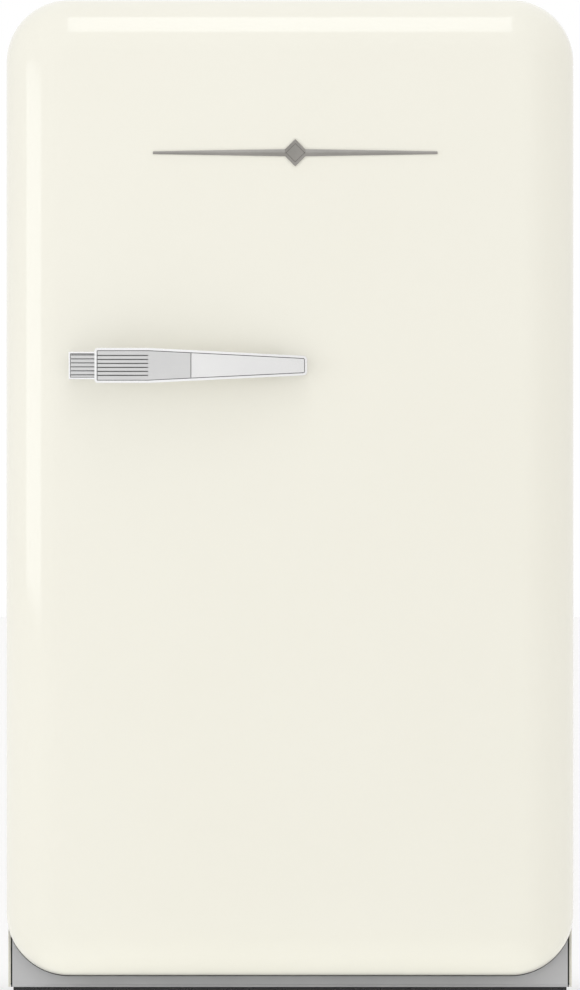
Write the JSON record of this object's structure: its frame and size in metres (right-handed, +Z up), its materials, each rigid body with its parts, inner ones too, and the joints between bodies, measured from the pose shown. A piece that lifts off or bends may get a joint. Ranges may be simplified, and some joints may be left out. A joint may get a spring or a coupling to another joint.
{
  "type": "mini fridge",
  "caption": "Rounded retro mini fridge with a right-hinged door, lever handle, glass shelves, crisper, door bins and a rear compressor.",
  "frame": {"origin": "on the floor, in the middle of the whole object's outline", "axes": "+Z up, -Y out of the front of the door, +X towards the side of the hinges"},
  "size_m": [0.543, 0.632, 0.96],
  "materials": {
    "cream_enamel": "gloss enamel on sheet steel",
    "grey_paint": "satin powder coat",
    "zinc_steel": "zinc-plated sheet steel",
    "hinge_steel": "plated steel",
    "foam": null,
    "white_liner": "vacuum-formed polystyrene",
    "white_plastic": "moulded",
    "clear_plastic": "clear moulded",
    "shelf_glass": "toughened, polished edge",
    "satin_chrome": "satin front with polished rim",
    "chrome": "polished",
    "badge_metal": "satin",
    "black_paint": "black enamel",
    "dark_plastic": "moulded",
    "copper": "drawn copper tube",
    "aluminium": "roll-bonded sheet",
    "seal_rubber": "soft magnetic profile",
    "nylon": "turned nylon"
  },
  "bodies": {
    "cabinet": {"cabinet_shell": "cream_enamel", "front_collar": "cream_enamel", "rear_panel": "zinc_steel", "cabinet_foam": "foam", "inner_liner": "white_liner", "evaporator_plate": "aluminium", "base_plate": "zinc_steel", "plinth": "grey_paint", "compressor_platform": "zinc_steel", "compressor": "black_paint", "terminal_cover": "dark_plastic", "drip_tray": "dark_plastic", "condenser": "black_paint", "condenser_bracket_upper": "dark_plastic", "condenser_bracket_lower": "dark_plastic", "filter_drier": "copper", "suction_tube": "copper", "liquid_tube": "copper", "discharge_tube": "copper", "power_inlet": "dark_plastic", "rear_left_bracket": "zinc_steel", "rear_right_bracket": "zinc_steel", "rear_left_axle": "hinge_steel", "rear_right_axle": "hinge_steel", "upper_hinge_arm": "hinge_steel", "lower_hinge_arm": "hinge_steel", "upper_hinge_pin": "hinge_steel", "lower_hinge_pin": "hinge_steel", "control_housing": "white_plastic", "lamp_module": "clear_plastic", "shelf_glass_upper": "shelf_glass", "shelf_glass_middle": "shelf_glass", "shelf_glass_lower": "shelf_glass", "shelf_trim_upper": "chrome", "shelf_trim_middle": "chrome", "shelf_trim_lower": "chrome", "crisper_cover": "shelf_glass", "crisper": "clear_plastic"},
    "door": {"door_skin": "cream_enamel", "door_foam": "foam", "door_liner": "white_liner", "door_gasket": "seal_rubber", "handle_lever": "satin_chrome", "handle_base": "satin_chrome", "handle_screw_1": "hinge_steel", "handle_screw_2": "hinge_steel", "door_badge": "badge_metal", "upper_bush": "nylon", "lower_bush": "nylon", "dairy_box": "clear_plastic", "middle_bin": "clear_plastic", "bottle_bin": "clear_plastic", "middle_retainer": "chrome", "bottle_retainer": "chrome"},
    "dairy_flap": {"dairy_lid": "clear_plastic"},
    "thermostat": {"thermostat_knob": "white_plastic"},
    "left_foot": {"front_left_foot": "dark_plastic"},
    "right_foot": {"front_right_foot": "dark_plastic"},
    "left_roller": {"rear_left_roller": "dark_plastic"},
    "right_roller": {"rear_right_roller": "dark_plastic"}
  },
  "joints": [
    {"name": "door_hinge", "type": "hinge", "parent": "cabinet", "child": "door", "pos_m": [0.2565, -0.212, 0.5], "axis": [0, 0, 1], "range_deg": [0, 110]},
    {"name": "dairy_lid_hinge", "type": "hinge", "parent": "door", "child": "dairy_flap", "pos_m": [0, -0.18, 0.766], "axis": [1, 0, 0], "range_deg": [0, 95]},
    {"name": "thermostat_turn", "type": "hinge", "parent": "cabinet", "child": "thermostat", "pos_m": [0.053, -0.07, 0.8907], "axis": [0, -1, 0], "range_deg": [0, 270]},
    {"name": "left_foot_travel", "type": "slide", "parent": "cabinet", "child": "left_foot", "axis": [0, 0, -1], "range_m": [0, 0.012]},
    {"name": "right_foot_travel", "type": "slide", "parent": "cabinet", "child": "right_foot", "axis": [0, 0, -1], "range_m": [0, 0.012]},
    {"name": "left_roller_turn", "type": "hinge", "parent": "cabinet", "child": "left_roller", "pos_m": [-0.2005, 0.235, 0.014], "axis": [1, 0, 0], "continuous": true},
    {"name": "right_roller_turn", "type": "hinge", "parent": "cabinet", "child": "right_roller", "pos_m": [0.2005, 0.235, 0.014], "axis": [1, 0, 0], "continuous": true}
  ]
}
